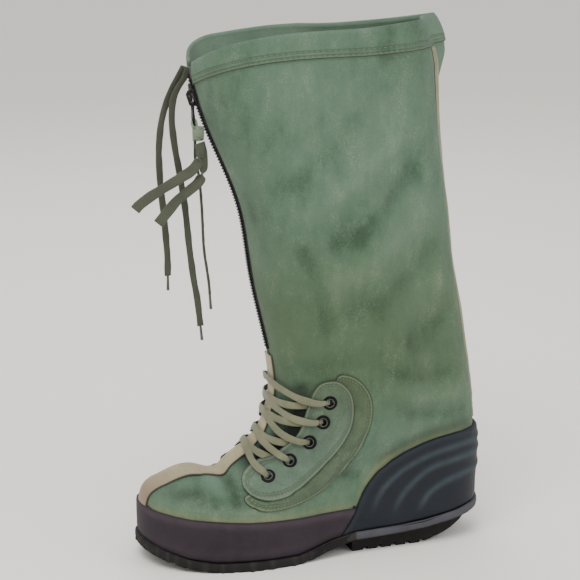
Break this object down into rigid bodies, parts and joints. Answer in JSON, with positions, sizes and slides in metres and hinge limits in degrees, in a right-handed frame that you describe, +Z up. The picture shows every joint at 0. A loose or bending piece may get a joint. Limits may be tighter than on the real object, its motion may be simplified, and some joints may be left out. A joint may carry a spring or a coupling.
{
  "type": "mukluk",
  "caption": "Tall canvas mukluk with a rubber bottom, ribbed heel cup, laced instep, front zip and drawcord collar; left foot.",
  "frame": {"origin": "on the floor, under the middle of the boot's box without the hanging cords", "axes": "+X from the toe to the heel, +Y from the lateral to the medial side, +Z up"},
  "size_m": [0.3293, 0.123, 0.4859],
  "materials": {
    "canvas": "mottled sage green woven canvas",
    "binding": "cream webbing",
    "rubber": "matte black",
    "cord": "olive grey woven cord",
    "metal": "black lacquer, worn",
    "tape": "black woven tape",
    "lace": "khaki flat lace",
    "lining": "plain felt"
  },
  "bodies": {
    "boot": {"upper": "canvas", "outsole": "rubber", "insole": "lining", "foxing": "rubber", "heel_cup": "rubber", "vamp_strip": "binding", "back_seam": "binding", "patch_lateral": "canvas", "patch_medial": "canvas", "flap_lateral": "canvas", "flap_medial": "canvas", "zip_tape": "tape", "zip_chain": "metal", "zip_slider": "metal", "drawcord_outer": "cord", "drawcord_inner": "cord", "drawcord_thin": "cord", "aglet_outer": "metal", "aglet_inner": "metal", "aglet_thin": "metal", "lace_crossing_1": "lace", "lace_crossing_2": "lace", "lace_crossing_3": "lace", "lace_crossing_4": "lace", "lace_crossing_5": "lace", "eyelet_lateral_1": "metal", "eyelet_lateral_2": "metal", "eyelet_lateral_3": "metal", "eyelet_lateral_4": "metal", "eyelet_lateral_5": "metal", "eyelet_medial_1": "metal", "eyelet_medial_2": "metal", "eyelet_medial_3": "metal", "eyelet_medial_4": "metal", "eyelet_medial_5": "metal"},
    "pull": {"zip_pull": "metal", "ribbon_knot": "cord", "ribbon_tail_upper": "cord", "ribbon_tail_lower": "cord"}
  },
  "joints": [
    {"name": "pull_hinge", "type": "hinge", "parent": "boot", "child": "pull", "pos_m": [-0.10739, -0.0008, 0.41565], "axis": [0, 1, 0], "range_deg": [-5, 120]}
  ]
}
